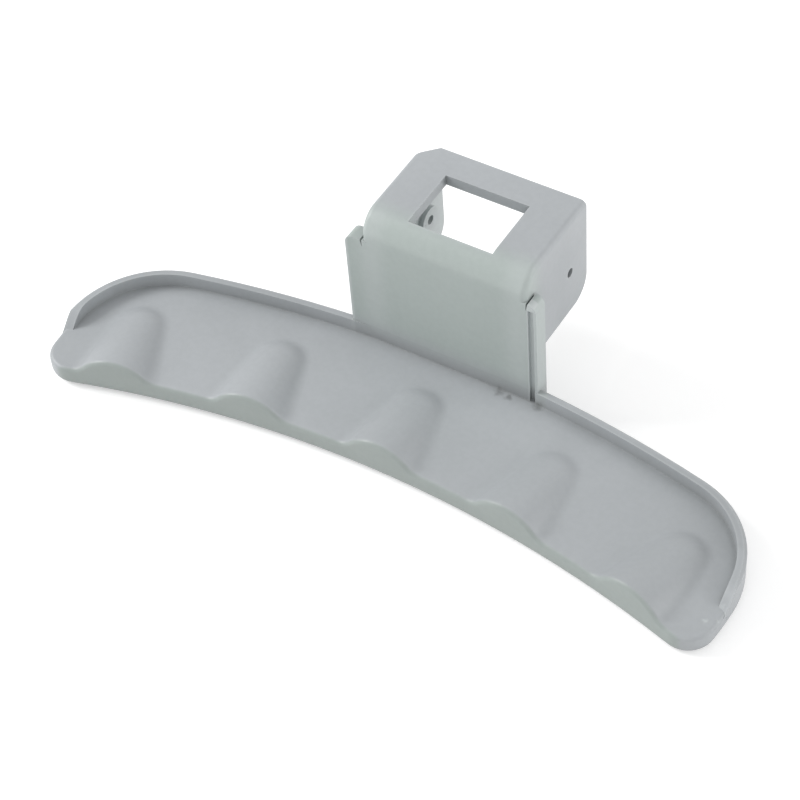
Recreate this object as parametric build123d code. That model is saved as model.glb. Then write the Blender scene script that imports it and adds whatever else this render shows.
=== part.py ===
# Washing machine door handle: one plastic moulding, millimetres, +Z up.
# It lies on its show face. The finger side is up, and the hinge box stands at the back.
# X runs along the grip, and Y from the fingers towards the door.
# It is drawn with Z=0 on the floor of the dish and Y=0 on the front face of the neck,
# then moved so that the middle of its underside's bounding box is the origin.
import math
import os

from build123d import *

# Grip in plan: a crescent between two arcs about one centre, with slightly bowed ends across it
grip_length = 146.6
grip_width = 28.9
rim_arc_radius = 263.2
neck_setback = 2.4
end_bow_radius = 100.0
far_corner_share = 0.71
near_corner_radius = 5.5

# Grip in section
floor_thickness = 4.9
underside_roll = 2.2
lip_round = 0.9

# Rim along the back and round the ends, sinking into the floor towards the near corners
rim_width = 1.8
rim_height = 3.1
rim_top_chamfer = 0.6
rim_fade_start = 6.5
rim_fade_length = 9.5
rim_depth_in_floor = 1.6

# Finger ridges: soft swellings that rise from behind towards the lip
ridge_count = 5
ridge_pitch = 28.6
ridge_height = 4.0
ridge_reach_share = 0.675
ridge_end_height = 1.8
ridge_crest_round = 9.0
ridge_foot_round = 4.0

# Neck: a flat plate that stands on the dish floor, with a groove down its right edge
neck_width = 41.6
neck_offset = -0.8
neck_thickness = 3.4
neck_height = 26.6
neck_corner_radius = 2.0
neck_depth_in_floor = 2.4
neck_foot_slope = 1.3
groove_width = 1.2
groove_depth = 0.8
groove_from_edge = 0.6
groove_top_gap = 1.6
notch_width = 0.8
notch_depth = 1.8

# Hinge box: two cheeks behind the neck, joined by a top frame round a window
box_width = 35.6
box_depth = 23.6
box_top = 32.7
box_underside = 9.3
cheek_thickness = 3.8
front_wall = 3.5
top_thickness = 2.4
window_width = 18.2
window_depth = 13.9
box_front_round = 5.0
box_corner_round = 1.3
cheek_low_round = 4.8
back_left_chamfer = 4.0

# Pivot bore through both cheeks, with a low boss round it inside each cheek
pivot_bore = 2.0
pivot_from_back = 6.6
pivot_height = 19.5
pivot_boss_diameter = 5.6
pivot_boss_height = 1.0

# Worked out from the sizes above
lip_radius = rim_arc_radius - grip_width
far_corner_radius = far_corner_share * grip_width
ridge_reach = ridge_reach_share * grip_width
arc_centre_y = neck_setback - rim_arc_radius
half_length = grip_length / 2
margin = 6.0
sweep_half_angle = math.degrees(math.asin((half_length + margin) / lip_radius))
arc_axis = Axis((0, arc_centre_y, 0), (0, 0, 1))
inside_width = box_width - 2 * cheek_thickness


def arc_distance(vertex):
    """Distance of a vertex from the centre of the grip's arcs, seen from above."""
    return round(math.hypot(vertex.X, vertex.Y - arc_centre_y), 3)


def between_ends(inset):
    """Lens whose two sides are the grip's bowed ends, drawn in by the inset."""
    disc = Circle(end_bow_radius - inset)
    middle_y = neck_setback - grip_width / 2 - half_length**2 / 2 / rim_arc_radius
    reach = end_bow_radius - half_length
    return Pos(reach, middle_y) * disc & Pos(-reach, middle_y) * disc


def crescent(near, inset):
    """Plan face from the near radius to the grip's back and ends, drawn in there by the inset."""
    band = Pos(0, arc_centre_y) * (Circle(rim_arc_radius - inset) - Circle(near))
    face = band & between_ends(inset)
    return fillet(face.vertices().group_by(arc_distance)[-1], far_corner_radius - inset)


def grip_plan():
    """Whole outline of the grip."""
    face = crescent(lip_radius, 0)
    return fillet(face.vertices().group_by(arc_distance)[0], near_corner_radius)


def from_outline(edge):
    """Distance of an edge's middle from the outline of the grip, seen from above."""
    middle = edge.center()
    return grip_plan().face().outer_wire().distance_to(Vertex(middle.X, middle.Y, 0))


def radial_plane(degrees):
    """Upright plane through the centre of the arcs: its x runs outwards, and its y up."""
    turn = math.radians(degrees)
    outwards = (math.sin(turn), math.cos(turn), 0)
    along = (math.cos(turn), -math.sin(turn), 0)
    return Plane(origin=(0, arc_centre_y, 0), x_dir=outwards, z_dir=along)


def around_arc(section):
    """Turn a section, drawn as radius and height, along the whole grip."""
    start = radial_plane(sweep_half_angle)
    return revolve(start * section, axis=arc_axis, revolution_arc=2 * sweep_half_angle)


def grip_block():
    """Flat crescent slab with its lower edge rolled all round."""
    block = extrude(Pos(0, 0, -floor_thickness) * grip_plan(), floor_thickness)
    return fillet(block.faces().sort_by(Axis.Z).first.edges(), underside_roll)


def ridge(number):
    """One finger ridge: a round bar that dips slightly from the lip and has a round end."""
    drop = ridge_crest_round - ridge_end_height
    run = ridge_reach - math.sqrt(ridge_crest_round**2 - drop**2)
    plane = radial_plane(math.degrees((number - (ridge_count - 1) / 2) * ridge_pitch / lip_radius))
    end = plane.from_local_coords((lip_radius + run, -drop))
    at_lip = plane.from_local_coords((lip_radius, ridge_height - ridge_crest_round))
    length = (end - at_lip).length + margin
    bar = Plane(origin=end, z_dir=at_lip - end) * Cylinder(
        ridge_crest_round, length, align=(Align.CENTER, Align.CENTER, Align.MIN)
    )
    return bar + Pos(end) * Sphere(ridge_crest_round)


def grip():
    """Dish with its finger ridges, their feet blended in and the edge of the lip rounded."""
    low = (underside_roll - floor_thickness) / 2
    column = extrude(Pos(0, 0, low) * grip_plan(), ridge_height + margin - low)
    body = grip_block() + [ridge(number) & column for number in range(ridge_count)]
    feet = [edge for edge in body.edges() if abs(edge.center().Z) < 0.01 and from_outline(edge) > 1]
    body = fillet(feet, ridge_foot_round)
    lip = [edge for edge in body.edges() if edge.center().Z > -0.01 and from_outline(edge) < 0.01]
    return fillet(lip, lip_round)


def rim():
    """Raised edge round the back and both ends, with its outer top edge broken."""
    near_part = Pos(0, arc_centre_y) * Circle(lip_radius + rim_fade_start / 2)
    band = grip_plan() - crescent(lip_radius - margin, rim_width) - near_part
    wall = extrude(Pos(0, 0, -rim_depth_in_floor) * band, rim_height + rim_depth_in_floor)
    top = wall.faces().sort_by(Axis.Z).last
    wall = chamfer([edge for edge in top.edges() if from_outline(edge) < rim_width / 2], rim_top_chamfer)
    foot = lip_radius + rim_fade_start
    head = foot + rim_fade_length
    outer, low, top = rim_arc_radius + margin, -floor_thickness, rim_height + margin
    slope = Spline((foot, -rim_depth_in_floor), (head, rim_height), tangents=((1, 0), (1, 0)))
    under = Polyline(slope @ 1, (head, top), (outer, top), (outer, low), (foot, low), slope @ 0)
    return wall & around_arc(make_face([slope, *under.edges()]))


def neck_plate():
    """Flat plate with rounded shoulders, let into the dish floor."""
    outline = Rectangle(neck_width, neck_height + neck_depth_in_floor, align=(Align.CENTER, Align.MIN))
    outline = fillet(outline.vertices().group_by(Axis.Y)[-1], neck_corner_radius)
    plate = extrude(Plane.XZ * Pos(neck_offset, -neck_depth_in_floor) * outline, -neck_thickness)
    foot = plate.faces().sort_by(Axis.Y).last.edges().sort_by(Axis.Z).first
    return chamfer(foot, neck_foot_slope)


def neck_groove():
    """Cut for the narrow groove down the right edge of the neck's front face."""
    middle = neck_offset + neck_width / 2 - groove_from_edge - groove_width / 2
    on_floor = (Align.CENTER, Align.CENTER, Align.MIN)
    return Pos(middle) * Box(groove_width, 2 * groove_depth, neck_height - groove_top_gap, align=on_floor)


def shoulder_notches():
    """Cuts for the small notch between each shoulder of the neck and the hinge box."""
    side, top, low = box_width / 2, neck_height + neck_corner_radius, neck_height - notch_depth
    wedge = make_face(Polyline((side, low), (side + notch_width, top), (side, top), (side, low)))
    cut = extrude(Plane.XZ * wedge, -neck_thickness - 1)
    return cut + mirror(cut, about=Plane.YZ)


def hinge_box():
    """Cheeks, front wall and top frame, open at the back and below."""
    side = Pos(0, box_underside) * Rectangle(box_depth, box_top - box_underside, align=Align.MIN)
    side = fillet(side.vertices().sort_by_distance((0, box_top)).first, box_front_round)
    side = fillet(side.vertices().sort_by_distance((box_depth, box_underside)).first, cheek_low_round)
    block = extrude(Plane.YZ * side, box_width / 2, both=True)
    left_back = (-box_width / 2, box_depth, box_top / 2)
    block = chamfer(block.edges().filter_by(Axis.Z).sort_by_distance(left_back).first, back_left_chamfer)
    block = fillet(block.faces().filter_by(Axis.X).edges().filter_by(above_shoulders), box_corner_round)
    front_low = (Align.CENTER, Align.MIN, Align.MIN)
    room = Box(inside_width, box_depth, box_top - top_thickness, align=front_low)
    window = Pos(0, 0, box_top - margin) * Box(window_width, window_depth, 2 * margin, align=front_low)
    return block - Pos(0, front_wall, 0) * (room + window)


def above_shoulders(edge):
    """True for the box's side edges over its front and top."""
    return edge.center().Z > neck_height and edge.center().Y < box_depth - 0.01


def across_cheeks(radius, width):
    """Cylinder on the pivot's line, along X and centred between the cheeks."""
    return Pos(0, box_depth - pivot_from_back, pivot_height) * Rot(0, 90, 0) * Cylinder(radius, width)


def pivot_bosses():
    """Low boss inside each cheek, round the pivot bore."""
    radius = pivot_boss_diameter / 2
    return across_cheeks(radius, inside_width) - across_cheeks(radius, inside_width - 2 * pivot_boss_height)


def door_handle():
    """The whole moulding, standing on the middle of its bounding box."""
    handle = grip() + rim() + neck_plate() + hinge_box() + pivot_bosses()
    handle -= neck_groove() + shoulder_notches() + across_cheeks(pivot_bore / 2, box_width + margin)
    bounds = handle.bounding_box()
    return Pos(-bounds.center().X, -bounds.center().Y, -bounds.min.Z) * handle


if __name__ == "__main__":
    os.makedirs("parts", exist_ok=True)
    export_step(door_handle(), "parts/door_handle.step")
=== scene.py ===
# Washing machine door handle: one grey plastic moulding, shown on a plain pale floor.
import math
from collections import namedtuple

import bmesh
import bpy
from mathutils import Matrix, Vector


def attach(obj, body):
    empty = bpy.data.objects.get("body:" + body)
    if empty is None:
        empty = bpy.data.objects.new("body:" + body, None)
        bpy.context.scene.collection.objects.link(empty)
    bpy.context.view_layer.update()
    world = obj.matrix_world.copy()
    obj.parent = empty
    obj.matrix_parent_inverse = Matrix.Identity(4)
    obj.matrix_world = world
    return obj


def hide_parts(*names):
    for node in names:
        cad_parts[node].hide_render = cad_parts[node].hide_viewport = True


bl_info = {
    "name": "Washing Machine Door Handle",
    "version": (1, 0, 0),
    "blender": (4, 5, 0),
    "location": "View3D > Sidebar > Door Handle",
    "description": "Finishes the plastic moulding of a door handle and sets up its studio",
    "category": "Add Mesh",
}

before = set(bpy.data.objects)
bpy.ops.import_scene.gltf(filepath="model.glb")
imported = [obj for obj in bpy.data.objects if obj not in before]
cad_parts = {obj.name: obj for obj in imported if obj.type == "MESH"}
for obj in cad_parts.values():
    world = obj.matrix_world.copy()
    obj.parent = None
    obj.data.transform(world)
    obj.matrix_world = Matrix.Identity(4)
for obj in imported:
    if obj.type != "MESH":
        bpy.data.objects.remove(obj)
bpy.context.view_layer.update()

# The arcs of the grip share one centre, in front of the handle. How far back it lies from the
# handle's origin, and the radius of the lip about it, in metres
ARC_CENTRE_BACK = -0.25451
LIP_RADIUS = 0.2343

# Ways in which a point of the handle is measured, in metres: across it from its middle, aside
# (across, without a sign), back from the fingers, in height, and from the centre of the arcs
Place = namedtuple("Place", "point across aside back height from_arcs")

# Regions of the handle, each the product of its ramps. A ramp says how a point is measured, and
# where the mask is nothing and where it is full. Two more numbers give it other values there.
UP_NECK = (
    ("height", 0.005, 0.012),
    ("aside", 0.0222, 0.0217),
    ("back", 0.0045, 0.0060),
    ("back", 0.014, 0.008),
)
CHEEK_LINES = (("aside", 0.0112, 0.0158), ("aside", 0.0205, 0.0165))
NECK_PLATE = (("aside", 0.0222, 0.0217), ("back", 0.0058, 0.0062), ("back", 0.0098, 0.0094))
NECK_FOOT_SHADE = (("height", 0.0120, 0.0045), ("across", 0.002, 0.016, 0.15, 0.32))
NECK_LEFT_EDGE = (("across", -0.0208, -0.0214),)
NECK_RIGHT_STRIP = (("across", 0.0193, 0.0196),)
GROOVE = (
    ("across", 0.0179, 0.0182),
    ("across", 0.0197, 0.0194),
    ("back", 0.0082, 0.0078),
    ("height", 0.0052, 0.0095),
)
BETWEEN_CHEEKS = (("aside", 0.0143, 0.0141), ("back", 0.0096, 0.0099), ("height", 0.012, 0.014))
BELOW_TOP_FRAME = (("height", 0.0351, 0.0349),)
WINDOW_FRONT = (("back", 0.0101, 0.0098), ("height", 0.0373, 0.0371))
RIGHT_END = (("across", 0.040, 0.068),)
LIP_WALL = (("from_arcs", LIP_RADIUS + 0.0009, LIP_RADIUS + 0.0002),)
RIM_WALLS = (
    ("from_arcs", 0.2545, 0.2560),
    ("height", 0.0050, 0.0056),
    ("height", 0.0084, 0.0081),
)
CORNER_SHADE_AND_DIRT = (("across", 0.045, 0.066, 0.17, 0.32),)

# Small dark marks at the neck's foot and pale specks near the right end, each a place and a
# radius
FOOT_DARK_MARKS = (
    ((0.0118, 0.0055, 0.0049), 0.0011),
    ((0.0141, 0.0052, 0.0049), 0.0008),
    ((0.0202, 0.0058, 0.0049), 0.0013),
)
PALE_SPECKS = (
    ((0.0724, -0.0197, 0.0049), 0.0008),
    ((0.0708, -0.0243, 0.0049), 0.0007),
    ((0.0728, -0.0232, 0.0049), 0.0006),
)

# How far out a mark fades away, as a share of its radius
MARK_FADE = 1.25

# How far a pale or a dark colour covers each region, edge or mark, mostly as painted light or
# painted shade
CHEEK_LINE_LIGHT = 0.3
LEFT_EDGE_HIGHLIGHT = 0.7
RIGHT_STRIP_LIGHT = 0.45
EDGE_HIGHLIGHT_AND_WEAR = 0.35
SPECK_PALENESS = 0.6
BOX_PAINTED_LIGHT = 0.95
GROOVE_PAINTED_LIGHT = 0.9
FOOT_MARK_DARKNESS = 0.55
SHELTER_SHADE = 0.22
RIGHT_END_DARKENING = 0.08
LIP_WALL_SHADE = 0.30
RIM_WALL_SHADE = 0.08

# Noises: a scale per metre, a detail, the part of the noise that is used and what it becomes
DRIFT = (28, 3, 0.35, 0.65, 0.0, 1.0)
MOTTLE = (900, 2, 0.3, 0.7, 0.985, 1.015)
CORNER_PATCHES = (260, 3, 0.4, 0.65, 0.6, 1.0)
MARK_WOBBLE = (1100, 2, 0.3, 0.7, -0.0003, 0.0003)
GLOSS_DRIFT = (60, 3, 0.3, 0.7)
GLOSS_CHANGE = (-0.04, 0.05)

# Bumps: a scale per metre, a detail, a strength and a depth in metres
GRAIN = (2600, 2, 0.12, 0.00003)
SWELL = (60, 1, 0.18, 0.0006)
PLASTIC_IOR = 1.46

# Shelter, for painted shade in sheltered places and corners: how far off walls count, and the
# openness at which the mask begins and is full
SHADE = (0.0045, 0.92, 0.45)
CORNERS = (0.0018, 0.88, 0.45)
SHELTER_SAMPLES = 8

# Edges, for painted highlights with slight wear: radius of the rounding, and the cosine at which
# the mask begins and is full
EDGE_RADIUS = 0.0007
EDGE_TURN = (0.995, 0.90)
EDGE_SAMPLES = 4

# Points of the mesh that are nearer than this are merged, in metres
MERGE_DISTANCE = 1e-6

# Floor: just below the handle, matt, and bright enough to show white
FLOOR_HEIGHT = -0.0001
FLOOR_ROUGHNESS = 0.9
FLOOR_SPECULAR = 0.1
FLOOR_GLOW = 0.35

# Lamps: a name, a place, the side of the square, and the setting with its power
LAMPS = (
    ("key", (-1.9, -0.5, 1.4), 1.0, "key_power"),
    ("side", (2.0, 0.8, 0.8), 1.5, "side_power"),
    ("front", (0.6, -1.9, 0.9), 1.5, "front_power"),
)
LAMP_AIM = (0, 0, 0.01)

# Camera: width of its sensor in millimetres, and the nearest and farthest that it sees in metres
SENSOR_WIDTH = 36
CLIP_RANGE = (0.01, 20)


class MouldingFinish(bpy.types.PropertyGroup):
    """Colours and surface of the plastic, with the colours of its painted light and shade."""

    plastic: bpy.props.FloatVectorProperty(
        name="Plastic", description="Grey of the plastic",
        subtype="COLOR", size=3, default=(0.420, 0.441, 0.458)
    )
    plastic_deep: bpy.props.FloatVectorProperty(
        name="Deep plastic", description="Slightly darker grey that drifts through the plastic",
        subtype="COLOR", size=3, default=(0.384, 0.404, 0.419)
    )
    # Painted light: a greener, slightly darker grey laid on the front-facing neck and lip wall
    # for the tint of the light that falls on them
    front_light_tint: bpy.props.FloatVectorProperty(
        name="Front light tint", description="Greener grey of the neck and of the lip's outer wall",
        subtype="COLOR", size=3, default=(0.392, 0.440, 0.424)
    )
    # Paler grey, mostly painted light: highlights on edges, the walls inside the box, the groove
    # and bands on the neck; also slight wear on edges and pale specks
    pale_light_and_wear: bpy.props.FloatVectorProperty(
        name="Pale light and wear", description="Paler grey of rubbed edges and of the walls inside",
        subtype="COLOR", size=3, default=(0.52, 0.555, 0.555)
    )
    # Dark colour, mostly painted shade: the neck's foot, the lip's outer wall, the rim walls,
    # sheltered places and corners; also some dirt in corners, a darker right end and small dark
    # marks
    shade_and_grime: bpy.props.FloatVectorProperty(
        name="Shade and grime", description="Dirt that lies in the corners",
        subtype="COLOR", size=3, default=(0.12, 0.125, 0.12)
    )
    roughness: bpy.props.FloatProperty(
        name="Roughness", description="Roughness of the plastic",
        subtype="FACTOR", min=0, max=1, default=0.42
    )
    crease_angle: bpy.props.FloatProperty(
        name="Crease angle", description="Edges sharper than this stay sharp",
        subtype="ANGLE", default=math.radians(34)
    )


class Studio(bpy.types.PropertyGroup):
    """Floor, lamps and camera."""

    floor: bpy.props.FloatVectorProperty(
        name="Floor", description="Colour of the floor",
        subtype="COLOR", size=3, default=(0.86, 0.86, 0.86)
    )
    floor_size: bpy.props.FloatProperty(
        name="Floor size", description="Side of the floor", subtype="DISTANCE", default=6.0
    )
    key_power: bpy.props.FloatProperty(
        name="Key lamp", description="Power of the large lamp at the upper left",
        subtype="POWER", default=36.0
    )
    side_power: bpy.props.FloatProperty(
        name="Side lamp", description="Power of the soft lamp behind on the right",
        subtype="POWER", default=19.0
    )
    front_power: bpy.props.FloatProperty(
        name="Front lamp", description="Power of the soft lamp in front",
        subtype="POWER", default=7.0
    )
    sky: bpy.props.FloatProperty(
        name="Surround", description="Strength of the even light all round", default=0.61
    )
    azimuth: bpy.props.FloatProperty(
        name="Azimuth", description="Camera's turn round the handle",
        subtype="ANGLE", default=math.radians(35.083)
    )
    elevation: bpy.props.FloatProperty(
        name="Elevation", description="Camera's height above the horizon",
        subtype="ANGLE", default=math.radians(48.302)
    )
    roll: bpy.props.FloatProperty(
        name="Roll", description="Camera's roll", subtype="ANGLE", default=math.radians(-5.088)
    )
    distance: bpy.props.FloatProperty(
        name="Distance", description="Camera's distance from its aim",
        subtype="DISTANCE", default=0.46116
    )
    aim: bpy.props.FloatVectorProperty(
        name="Aim", description="Point that the camera looks at",
        subtype="TRANSLATION", size=3, default=(-0.00159, -0.00868, 0.00949)
    )
    lens: bpy.props.FloatProperty(
        name="Lens", description="Focal length in millimetres", default=109.23
    )


def feed(tree, socket, value):
    """Link an output to a socket, or set the socket to a number or an opaque colour."""
    if isinstance(value, bpy.types.NodeSocket):
        tree.links.new(value, socket)
    elif socket.type == "RGBA":
        socket.default_value = (*value, 1)
    else:
        socket.default_value = value


def set_inputs(tree, node, **inputs):
    """Feed the inputs that are named, with underscores for the spaces in their names."""
    for name, value in inputs.items():
        feed(tree, node.inputs[name.replace("_", " ")], value)


def add_node(tree, kind, **inputs):
    """Add a node and feed its inputs."""
    node = tree.nodes.new(kind)
    set_inputs(tree, node, **inputs)
    return node


def math_node(tree, operation, first, second=0.0):
    """Add a Math node and return its output."""
    node = tree.nodes.new("ShaderNodeMath")
    node.operation = operation
    feed(tree, node.inputs[0], first)
    feed(tree, node.inputs[1], second)
    return node.outputs[0]


def vector_math(tree, operation, first, second):
    """Add a Vector Math node that turns two vectors into a number, and return that."""
    node = tree.nodes.new("ShaderNodeVectorMath")
    node.operation = operation
    feed(tree, node.inputs[0], first)
    feed(tree, node.inputs[1], second)
    return node.outputs["Value"]


def mix_colour(tree, factor, first, second, blend="MIX"):
    """Add a Mix node for colours, whose sockets 6 and 7 are the two, and return its output."""
    node = tree.nodes.new("ShaderNodeMix")
    node.data_type = "RGBA"
    node.blend_type = blend
    feed(tree, node.inputs[0], factor)
    feed(tree, node.inputs[6], first)
    feed(tree, node.inputs[7], second)
    return node.outputs[2]


def combine_grey(tree, value):
    """Grey colour from one value."""
    return add_node(tree, "ShaderNodeCombineColor", Red=value, Green=value, Blue=value).outputs[0]


def remap(tree, value, low, high, new_low=0.0, new_high=1.0):
    """Smoothly map a value from one range to another, held at both ends."""
    node = add_node(
        tree, "ShaderNodeMapRange",
        Value=value, From_Min=low, From_Max=high, To_Min=new_low, To_Max=new_high
    )
    node.interpolation_type = "SMOOTHSTEP"
    return node.outputs[0]


def overlap(tree, *masks):
    """Product of several masks."""
    product = masks[0]
    for mask in masks[1:]:
        product = math_node(tree, "MULTIPLY", product, mask)
    return product


def tint(tree, tone, colour, *masks):
    """The tone with a colour laid over it, as far as all the masks let it."""
    return mix_colour(tree, overlap(tree, *masks), tone, colour)


def place_on_handle(tree):
    """Where a point lies on the handle, in the handle's own coordinates."""
    point = tree.nodes.new("ShaderNodeTexCoord").outputs["Object"]
    across, back, height = add_node(tree, "ShaderNodeSeparateXYZ", Vector=point).outputs
    aside = math_node(tree, "ABSOLUTE", across)
    from_above = add_node(tree, "ShaderNodeCombineXYZ", X=across, Y=back).outputs[0]
    from_arcs = vector_math(tree, "DISTANCE", from_above, (0, ARC_CENTRE_BACK, 0))
    return Place(point, across, aside, back, height, from_arcs)


def region(tree, place, ramps):
    """Mask of a region that is given by its ramps."""
    return overlap(tree, *(remap(tree, getattr(place, way), *ends) for way, *ends in ramps))


def noise(tree, place, scale, detail):
    """Noise over the handle."""
    return add_node(
        tree, "ShaderNodeTexNoise", Vector=place.point, Scale=scale, Detail=detail
    ).outputs[0]


def varied(tree, place, scale, detail, low, high, new_low, new_high):
    """Value that varies over the handle between two ends, as a noise does."""
    return remap(tree, noise(tree, place, scale, detail), low, high, new_low, new_high)


def bump(tree, place, scale, detail, strength, depth, **under):
    """Bumpy normal from a noise, on top of the normal that is under it."""
    height = noise(tree, place, scale, detail)
    return add_node(
        tree, "ShaderNodeBump", Strength=strength, Distance=depth, Height=height, **under
    ).outputs[0]


def marks(tree, place, spots):
    """Mask of a few small ragged marks, each given by its place and its radius."""
    wobble = varied(tree, place, *MARK_WOBBLE)
    total = 0.0
    for centre, radius in spots:
        gap = vector_math(tree, "DISTANCE", place.point, centre)
        ragged = math_node(tree, "ADD", gap, wobble)
        mark = remap(tree, ragged, radius * MARK_FADE, 0.0)
        total = math_node(tree, "MAXIMUM", mark, total)
    return total


def edge_highlight_and_wear(tree):
    """Mask of the edges, for painted highlights with slight wear, from how far a rounded normal
    turns away from the plain one.
    """
    rounded = add_node(tree, "ShaderNodeBevel", Radius=EDGE_RADIUS)
    rounded.samples = EDGE_SAMPLES
    plain = tree.nodes.new("ShaderNodeNewGeometry").outputs["Normal"]
    cosine = vector_math(tree, "DOT_PRODUCT", rounded.outputs[0], plain)
    return remap(tree, cosine, *EDGE_TURN)


def sheltered(tree, reach, least, most):
    """Mask of the places that walls within reach close in, from the least to the most closed."""
    shelter = add_node(tree, "ShaderNodeAmbientOcclusion", Distance=reach)
    shelter.samples = SHELTER_SAMPLES
    return remap(tree, shelter.outputs["AO"], least, most)


def corner_shade_and_dirt(tree, place):
    """Faint patchy mask where walls meet, stronger at the right end: painted shade with some
    dirt.
    """
    patches = varied(tree, place, *CORNER_PATCHES)
    return overlap(tree, sheltered(tree, *CORNERS), patches, region(tree, place, CORNER_SHADE_AND_DIRT))


def inside_box(tree, place):
    """Mask of the walls inside the hinge box, with the window's front edge."""
    below_frame = region(tree, place, BELOW_TOP_FRAME)
    window_front = region(tree, place, WINDOW_FRONT)
    walls = math_node(tree, "MAXIMUM", below_frame, window_front)
    return overlap(tree, region(tree, place, BETWEEN_CHEEKS), walls)


def neck_tone(tree, place, tone, finish):
    """Painted light and shade up the neck: a greener tint, pale bands at the cheeks, a paler left
    edge and right strip, and painted shade at the foot.
    """
    up_neck = region(tree, place, UP_NECK)
    cheek_lines = region(tree, place, CHEEK_LINES)
    plate = region(tree, place, NECK_PLATE)
    foot = region(tree, place, NECK_FOOT_SHADE)
    left_edge = region(tree, place, NECK_LEFT_EDGE)
    right_strip = region(tree, place, NECK_RIGHT_STRIP)
    # Painted light: the greener tint of the light on the neck's front
    tone = tint(tree, tone, finish.front_light_tint, up_neck)
    # Painted light: paler bands where the cheeks meet the neck behind, standing in for the
    # shading of sink marks
    tone = tint(tree, tone, finish.pale_light_and_wear, cheek_lines, up_neck, CHEEK_LINE_LIGHT)
    # Painted shade on the lower neck plate, darker to the right
    tone = tint(tree, tone, finish.shade_and_grime, plate, foot)
    # Painted highlight along the neck plate's left edge
    tone = tint(tree, tone, finish.pale_light_and_wear, plate, left_edge, LEFT_EDGE_HIGHLIGHT)
    # Painted light: a paler strip at the neck plate's right end
    return tint(tree, tone, finish.pale_light_and_wear, plate, right_strip, RIGHT_STRIP_LIGHT)


def grip_tone(tree, place, tone, finish):
    """Slightly darker right end, painted shade on the rim walls, and a greener tint with painted
    shade on the lip's outer wall.
    """
    lip_wall = region(tree, place, LIP_WALL)
    # Darker towards the right end
    tone = tint(tree, tone, finish.shade_and_grime, region(tree, place, RIGHT_END), RIGHT_END_DARKENING)
    # The lip's outer wall faces forward and down: a greener tint and painted shade stand in for
    # the light there
    tone = tint(tree, tone, finish.front_light_tint, lip_wall)
    tone = tint(tree, tone, finish.shade_and_grime, lip_wall, LIP_WALL_SHADE)
    # Painted shade on the rim's walls
    return tint(tree, tone, finish.shade_and_grime, region(tree, place, RIM_WALLS), RIM_WALL_SHADE)


def new_material(name):
    """An empty node material with its Principled shader."""
    material = bpy.data.materials.new(name)
    material.use_nodes = True
    tree = material.node_tree
    tree.nodes.clear()
    shader = tree.nodes.new("ShaderNodeBsdfPrincipled")
    output = tree.nodes.new("ShaderNodeOutputMaterial")
    tree.links.new(shader.outputs[0], output.inputs[0])
    return material, tree, shader


def moulded_plastic(finish):
    """Satin grey plastic with a drift of tone and a fine grain, painted light and highlights with
    slight wear, and painted shade with some dirt in corners.
    """
    material, tree, shader = new_material("moulded_plastic")
    place = place_on_handle(tree)
    box_walls = inside_box(tree, place)
    groove = region(tree, place, GROOVE)
    tone = mix_colour(tree, varied(tree, place, *DRIFT), finish.plastic, finish.plastic_deep)
    tone = neck_tone(tree, place, tone, finish)
    # Painted light: paler walls inside the hinge box
    tone = tint(tree, tone, finish.pale_light_and_wear, box_walls, BOX_PAINTED_LIGHT)
    # Painted light in the neck's groove, which softens the groove's own shade
    tone = tint(tree, tone, finish.pale_light_and_wear, groove, GROOVE_PAINTED_LIGHT)
    tone = grip_tone(tree, place, tone, finish)
    mottle = combine_grey(tree, varied(tree, place, *MOTTLE))
    tone = mix_colour(tree, 1.0, tone, mottle, "MULTIPLY")
    # Painted highlights on rounded edges, with slight wear
    tone = tint(tree, tone, finish.pale_light_and_wear, edge_highlight_and_wear(tree), EDGE_HIGHLIGHT_AND_WEAR)
    tone = tint(tree, tone, finish.pale_light_and_wear, marks(tree, place, PALE_SPECKS), SPECK_PALENESS)
    # The walls inside the box and the groove are kept free of the painted shade below
    kept_unshaded = math_node(tree, "MAXIMUM", box_walls, groove)
    outside = math_node(tree, "SUBTRACT", 1.0, kept_unshaded)
    # Painted shade in sheltered places, darker the more closed in
    tone = tint(tree, tone, finish.shade_and_grime, sheltered(tree, *SHADE), outside, SHELTER_SHADE)
    # Painted shade where walls meet, stronger at the right end, made patchy like dirt
    tone = tint(tree, tone, finish.shade_and_grime, corner_shade_and_dirt(tree, place), outside)
    tone = tint(tree, tone, finish.shade_and_grime, marks(tree, place, FOOT_DARK_MARKS), FOOT_MARK_DARKNESS)
    satin_range = (finish.roughness + change for change in GLOSS_CHANGE)
    satin = varied(tree, place, *GLOSS_DRIFT, *satin_range)
    swell = bump(tree, place, *SWELL, Normal=bump(tree, place, *GRAIN))
    set_inputs(tree, shader, Base_Color=tone, Roughness=satin, Normal=swell, IOR=PLASTIC_IOR)
    return material


def floor_material(studio):
    """Pale floor that shows white to the camera and in reflections, and keeps the soft shadow."""
    material, tree, shader = new_material("pale_floor")
    ray = tree.nodes.new("ShaderNodeLightPath").outputs
    seen = math_node(tree, "MAXIMUM", ray["Is Camera Ray"], ray["Is Glossy Ray"])
    seen = math_node(tree, "MAXIMUM", seen, ray["Is Transmission Ray"])
    glow = math_node(tree, "MULTIPLY", seen, FLOOR_GLOW)
    set_inputs(
        tree, shader, Base_Color=studio.floor, Roughness=FLOOR_ROUGHNESS,
        Specular_IOR_Level=FLOOR_SPECULAR, Emission_Color=(1, 1, 1), Emission_Strength=glow
    )
    return material


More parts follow.
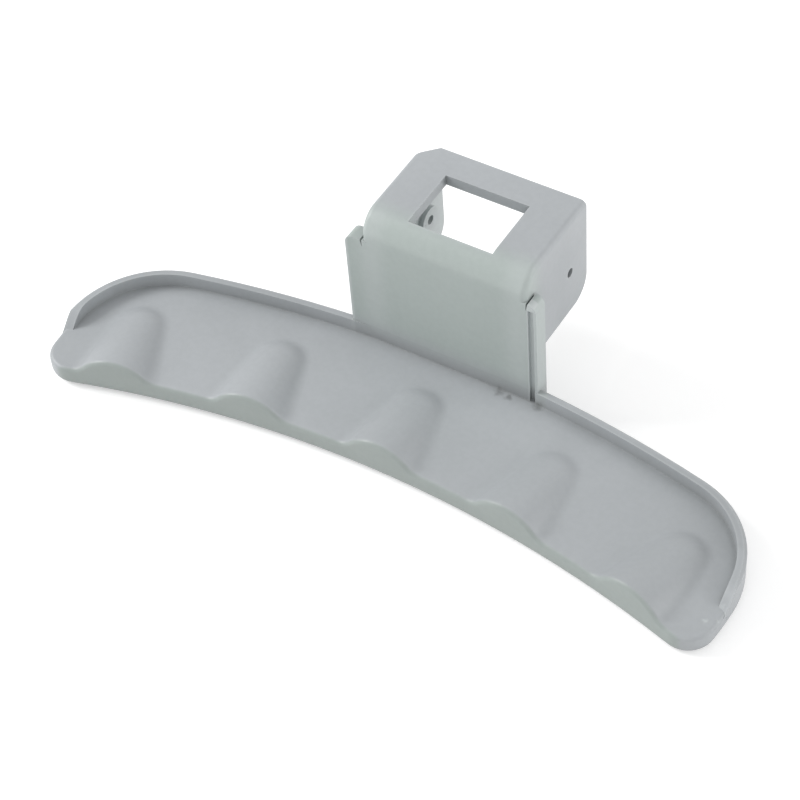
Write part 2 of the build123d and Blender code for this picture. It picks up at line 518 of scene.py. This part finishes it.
def lay_floor(context, studio):
    """Square floor under the handle."""
    mesh = bpy.data.meshes.new("floor")
    bm = bmesh.new()
    bmesh.ops.create_grid(bm, x_segments=1, y_segments=1, size=studio.floor_size / 2)
    bmesh.ops.translate(bm, verts=bm.verts, vec=(0, 0, FLOOR_HEIGHT))
    bm.to_mesh(mesh)
    bm.free()
    mesh.materials.append(floor_material(studio))
    floor = bpy.data.objects.new("floor", mesh)
    context.scene.collection.objects.link(floor)


def hang_lamp(context, name, place, size, power):
    """Square area lamp at a place, turned towards the handle."""
    lamp = bpy.data.lights.new(name, "AREA")
    lamp.shape = "SQUARE"
    lamp.size = size
    lamp.energy = power
    holder = bpy.data.objects.new(name, lamp)
    context.scene.collection.objects.link(holder)
    holder.location = place
    holder.rotation_mode = "QUATERNION"
    holder.rotation_quaternion = (Vector(LAMP_AIM) - Vector(place)).to_track_quat("-Z", "Y")


def light_surround(context, studio):
    """Even white light from all round."""
    world = bpy.data.worlds.new("surround")
    context.scene.world = world
    world.use_nodes = True
    background = world.node_tree.nodes["Background"]
    set_inputs(world.node_tree, background, Color=(1, 1, 1), Strength=studio.sky)


def set_camera(context, studio):
    """Camera at the photograph's angle."""
    data = bpy.data.cameras.new("camera")
    data.lens = studio.lens
    data.sensor_width = SENSOR_WIDTH
    data.clip_start, data.clip_end = CLIP_RANGE
    camera = bpy.data.objects.new("camera", data)
    context.scene.collection.objects.link(camera)
    flat = math.cos(studio.elevation)
    back = Vector((
        math.sin(studio.azimuth) * flat,
        -math.cos(studio.azimuth) * flat,
        math.sin(studio.elevation),
    ))
    level = (-back).to_track_quat("-Z", "Y").to_matrix().to_4x4()
    turn = level @ Matrix.Rotation(studio.roll, 4, "Z")
    place = Matrix.Translation(Vector(studio.aim) + back * studio.distance)
    camera.matrix_world = place @ turn
    context.scene.camera = camera


class MESH_OT_handle_moulding(bpy.types.Operator):
    """Finish the plastic moulding: merge its mesh, smooth its rounds and give it its plastic"""

    bl_idname = "mesh.handle_moulding"
    bl_label = "Moulding"

    def execute(self, context):
        finish = context.scene.moulding_finish
        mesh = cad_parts["door_handle"].data.copy()
        mesh.name = "moulding"
        bm = bmesh.new()
        bm.from_mesh(mesh)
        bmesh.ops.remove_doubles(bm, verts=bm.verts, dist=MERGE_DISTANCE)
        for face in bm.faces:
            face.smooth = True
        for edge in bm.edges:
            inside = len(edge.link_faces) == 2
            edge.smooth = inside and edge.calc_face_angle(0) < finish.crease_angle
        bm.to_mesh(mesh)
        bm.free()
        mesh.materials.clear()
        mesh.materials.append(moulded_plastic(finish))
        piece = bpy.data.objects.new("moulding", mesh)
        context.scene.collection.objects.link(piece)
        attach(piece, "root")
        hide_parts("door_handle")
        return {"FINISHED"}


class SCENE_OT_handle_stage(bpy.types.Operator):
    """Lay the floor, hang the lamps and set the camera at the photograph's angle"""

    bl_idname = "scene.handle_stage"
    bl_label = "Stage"

    def execute(self, context):
        studio = context.scene.studio
        lay_floor(context, studio)
        for name, place, size, power in LAMPS:
            hang_lamp(context, name, place, size, getattr(studio, power))
        light_surround(context, studio)
        context.scene.view_settings.view_transform = "Standard"
        set_camera(context, studio)
        return {"FINISHED"}


class VIEW3D_PT_door_handle(bpy.types.Panel):
    """Sizes, colours and steps of the door handle"""

    bl_label = "Door Handle"
    bl_idname = "VIEW3D_PT_door_handle"
    bl_space_type = "VIEW_3D"
    bl_region_type = "UI"
    bl_category = "Door Handle"

    def draw(self, context):
        for settings in (context.scene.moulding_finish, context.scene.studio):
            box = self.layout.box()
            for name in settings.bl_rna.properties.keys():
                if name not in {"rna_type", "name"}:
                    box.prop(settings, name)
        self.layout.operator(MESH_OT_handle_moulding.bl_idname)
        self.layout.operator(SCENE_OT_handle_stage.bl_idname)


classes = (
    MouldingFinish,
    Studio,
    MESH_OT_handle_moulding,
    SCENE_OT_handle_stage,
    VIEW3D_PT_door_handle,
)


def register():
    for cls in classes:
        bpy.utils.register_class(cls)
    bpy.types.Scene.moulding_finish = bpy.props.PointerProperty(type=MouldingFinish)
    bpy.types.Scene.studio = bpy.props.PointerProperty(type=Studio)


def unregister():
    del bpy.types.Scene.studio
    del bpy.types.Scene.moulding_finish
    for cls in reversed(classes):
        bpy.utils.unregister_class(cls)


def main():
    register()
    bpy.ops.mesh.handle_moulding()
    bpy.ops.scene.handle_stage()


if __name__ == "__main__":
    main()
